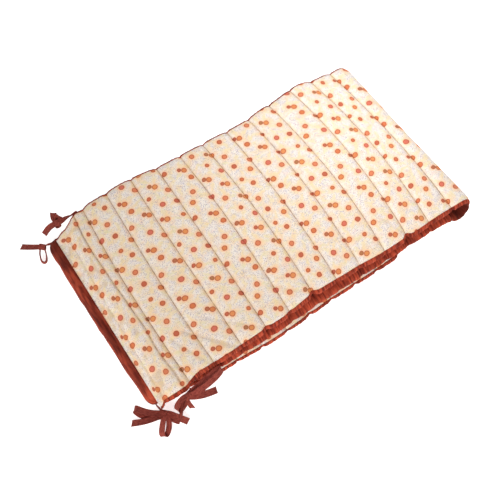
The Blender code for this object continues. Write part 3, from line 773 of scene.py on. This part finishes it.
# The colour follows the bump's relief: the gauze's own uneven terracotta, with painted shade down the low
# streaks and a painted highlight on the crinkle tops.
base = streaks.between(0.36, 0.62).mixed(GAUZE_DARK, TERRACOTTA)
base = (crinkle.between(0.50, 0.75) * 0.5).mixed(base, GAUZE_BRIGHT)
# Painted shade, as deep as the mesh asks at each point.
painted_gauze_shade = dye.node("ShaderNodeAttribute", attribute_name="painted_shade", out=2)
base = (painted_gauze_shade * 0.85).mixed(base, GAUZE_SHADE)
link(gauze, base, shader.inputs["Base Color"])
emboss(gauze, streaks * 0.6 + crinkle * 0.3 + weave * 0.1, 0.6, 2.0 * MM, shader)

gauze_back = new_piece("gauze_back", points.reshape(-1, 3), gauze_faces, gauze, cloth, painted_shade)
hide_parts("gauze_panel")
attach(gauze_back, "root")

# ---- The ties ----
# Folded gauze tape, 11 mm wide, sewn in at the side seam and tied in small bows. Each strand leaves
# the knot as a loop or a tail: the table gives the tip in millimetres from the knot.
TAPE_WIDTH, TAPE_THICKNESS, TIE_CLEARANCE, KNOT_GRIP = 11.0, 1.6, 0.4, 2.5
TAPE_CORNERS, STEM_RINGS, LOOP_RINGS, TAIL_RINGS, KNOT_RINGS = 16, 15, 33, 19, 25
LOOP_FULLNESS, KNOT_WIDE, KNOT_HIGH, KNOT_LENGTH = 0.62, 4.6, 3.9, 27.0
Strand = namedtuple("Strand", "kind tip mouth roll swing")
Tie = namedtuple("Tie", "name at side up beside knot roll strands")
left_fold_at = (sum(LEFT_BEND) / 2 - END_FLANGE) / CHANNEL
TIES = (
    Tie("tie_top_near", 0.89, "near", -1, 0.6, (-10, -8, 1), 60, (
        Strand("loop", (68, 7, 3), 12, 45, -1.5),
        Strand("tail", (46, -14, -15), 4, 15, -3),
        Strand("loop", (-26, -8, -11), 12, 25, 0),
        Strand("tail", (-2, -19, -15), 2, 60, 0),
        Strand("tail", (-28, -21, -23), 2, 60, 0),
    )),
    Tie("tie_fold_near", left_fold_at, "near", 0, 6, (5.6, -21, 5), 60, (
        Strand("loop", (-39, 37, -12), 14, 16, 6),
        Strand("loop", (-22, -27, -15), 14, 31, 2),
        Strand("tail", (-54, 21, -20), 3, 20, 5),
        Strand("loop", (15, -21, -14), 11, -12, 0),
        Strand("tail", (25, -28, -19), -2, 25, 0),
    )),
    Tie("tie_top_far", 0.8, "far", -1, 0.6, (-38, 4, -9), -15, (
        Strand("tail", (4, 26, -3), 2, 20, 3),
        Strand("tail", (-30, -1, -8), 2, -10, -3),
        Strand("loop", (10, 13, 2), 6, 60, 0),
    )),
    Tie("tie_fold_far", left_fold_at, "far", 0, 6, (-16, 2, 4), 60, (
        Strand("tail", (-32, 27, -11), 3, 10, 3),
        Strand("loop", (-12, -22, -14), 9, 80, 0),
    )),
)
UPWARDS = np.array([0.0, 0.0, 1.0])


def unit(way):
    return way / np.linalg.norm(way)


def tape_ways(onward, roll_degrees):
    """The level way left of a tape, the way its width lies and the way its face looks."""
    level, roll = unit(np.array([-onward[1], onward[0], 0.0])), math.radians(roll_degrees)
    return (level, level * math.cos(roll) + UPWARDS * math.sin(roll),
            UPWARDS * math.cos(roll) - level * math.sin(roll))


def strand_line(strand, steps):
    """Points along the middle of a strand from its knot, and the way its width lies."""
    reach = np.array([strand.tip[0], strand.tip[1], 0.0])
    onward = unit(reach)
    level, width_way, open_way = tape_ways(onward, strand.roll)
    line = []
    for part in np.linspace(0, 1, steps):
        if strand.kind == "loop":
            out = 0.5 - 0.5 * math.cos(2 * math.pi * part)
            bow = LOOP_FULLNESS * strand.mouth * math.sin(2 * math.pi * part) * math.sqrt(out)
            bow += TAPE_THICKNESS * math.cos(math.pi * part)
        else:
            out, bow = part, strand.mouth * math.sin(math.pi * part)
        aside = level * strand.swing * math.sin(math.pi * out)
        line.append(reach * out - onward * KNOT_GRIP + UPWARDS * strand.tip[2] * out**1.5
                    + aside + open_way * bow)
    return np.array(line), width_way


def tape(line, width_ways, cup=0.12, pinch=(True, True)):
    """Rings of a soft folded tape along a line: rounded edges, a slight cup, and pinched at the knot."""
    rings, flat = [], []
    run = np.concatenate([[0], np.cumsum(np.linalg.norm(np.diff(line, axis=0), axis=1))])
    for i, (point, width_way) in enumerate(zip(line, width_ways)):
        ahead = unit(line[min(i + 1, len(line) - 1)] - line[max(i - 1, 0)])
        wide = unit(width_way - ahead * width_way.dot(ahead))
        thick = np.cross(ahead, wide)
        gripped = max(np.exp(-run[i] / 5.0) * pinch[0], np.exp(-(run[-1] - run[i]) / 5.0) * pinch[1])
        width = TAPE_WIDTH * (1 - 0.42 * gripped)
        for turn in np.linspace(0, 2 * math.pi, TAPE_CORNERS, endpoint=False):
            a = math.copysign(abs(math.cos(turn)) ** 0.75, math.cos(turn)) * width / 2
            b = math.sin(turn) * TAPE_THICKNESS / 2 * (1 - 0.25 * abs(math.cos(turn)))
            b += cup * width * ((2 * a / width) ** 2 - 0.4) + 0.5 * gripped * math.cos(2.4 * a)
            corner = point + wide * a + thick * b
            corner[2] = max(corner[2], 0.05 + 0.4 * (math.sin(turn) + 1) * TAPE_THICKNESS / 2)
            rings.append(corner)
            flat.append((run[i], a))
    return rings, flat, lofted_faces(len(line), TAPE_CORNERS)


MAROON, DUSTY_MAROON = (0.17, 0.028, 0.022), (0.34, 0.072, 0.052)
tape_finish, shader, dye = new_finish("folded gauze tape", 0.92)
cloth_at = dye.node("ShaderNodeUVMap", uv_map="cloth")
ribbed = dye.noise(dye.vector("MULTIPLY", cloth_at, (0.25, 1.0, 1.0)), 620.0, detail=3.0)
weave = dye.noise(cloth_at, 1500.0, detail=1.0)
# The colour follows the bump's ribs: the tape's own maroon, with painted shade in the low ribs and a
# painted highlight on the high ones.
base = ribbed.between(0.3, 0.72).mixed(MAROON, DUSTY_MAROON)
link(tape_finish, base, shader.inputs["Base Color"])
emboss(tape_finish, ribbed * 0.7 + weave * 0.3, 0.5, 0.8 * MM, shader)

for tie in TIES:
    root_along = END_FLANGE + tie.at * CHANNEL
    out, edge = (-1, 0) if tie.side == "near" else (1, 1)
    nearby = root_along + tie.beside * np.arange(-3, 4) / 3
    face = max(out * rows_at(LIES, nearby)[edge] + side_stand(nearby, tie.side))
    root_across = out * (face + TIE_CLEARANCE + TAPE_THICKNESS / 2)
    root = placed(np.array([root_along]), np.array([root_across]), np.array([float(tie.up)]))[0] / MM
    knot = root + np.array(tie.knot)
    part = eased(np.linspace(0, 1, STEM_RINGS))[:, None]
    stem = root + (knot - root) * part
    stem[:, 1] += out * np.sin(math.pi * part[:, 0])
    turned = tape_ways(knot - root, tie.roll)[1]
    pieces = [tape(stem, UPWARDS + (turned - UPWARDS) * part, pinch=(False, True))]
    flat_length = np.linalg.norm(np.diff(stem, axis=0), axis=1).sum()
    for strand in tie.strands:
        line, width_way = strand_line(strand, LOOP_RINGS if strand.kind == "loop" else TAIL_RINGS)
        line = line + knot
        flat_length += np.linalg.norm(np.diff(line, axis=0), axis=1).sum()
        pieces.append(tape(line, [width_way] * len(line), pinch=(True, strand.kind == "loop")))
    # The knot's own turn of tape lies round the roots of the strands.
    first = unit(np.array([*tie.strands[0].tip[:2], 0.0]))
    side_way = np.array([-first[1], first[0], 0.0])
    wrap = np.array([knot + side_way * KNOT_WIDE * math.cos(a) + UPWARDS * KNOT_HIGH * math.sin(a)
                     + first * (0.5 * math.sin(2 * a)) for a in np.linspace(0, 2 * math.pi, KNOT_RINGS)])
    pieces.append(tape(wrap, [unit(first + 0.25 * UPWARDS)] * KNOT_RINGS, cup=0.04, pinch=(False, False)))
    flat_length += KNOT_LENGTH
    points, flat, faces = [], [], []
    for rings, places_on, piece_faces in pieces:
        faces += [tuple(corner + len(points) for corner in face) for face in piece_faces]
        points += rings
        flat += places_on
    made = new_piece(tie.name + "_bow", np.array(points) * MM, faces, tape_finish, np.array(flat) * MM)
    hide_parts(tie.name)
    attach(made, "root")
    flat_length * MM
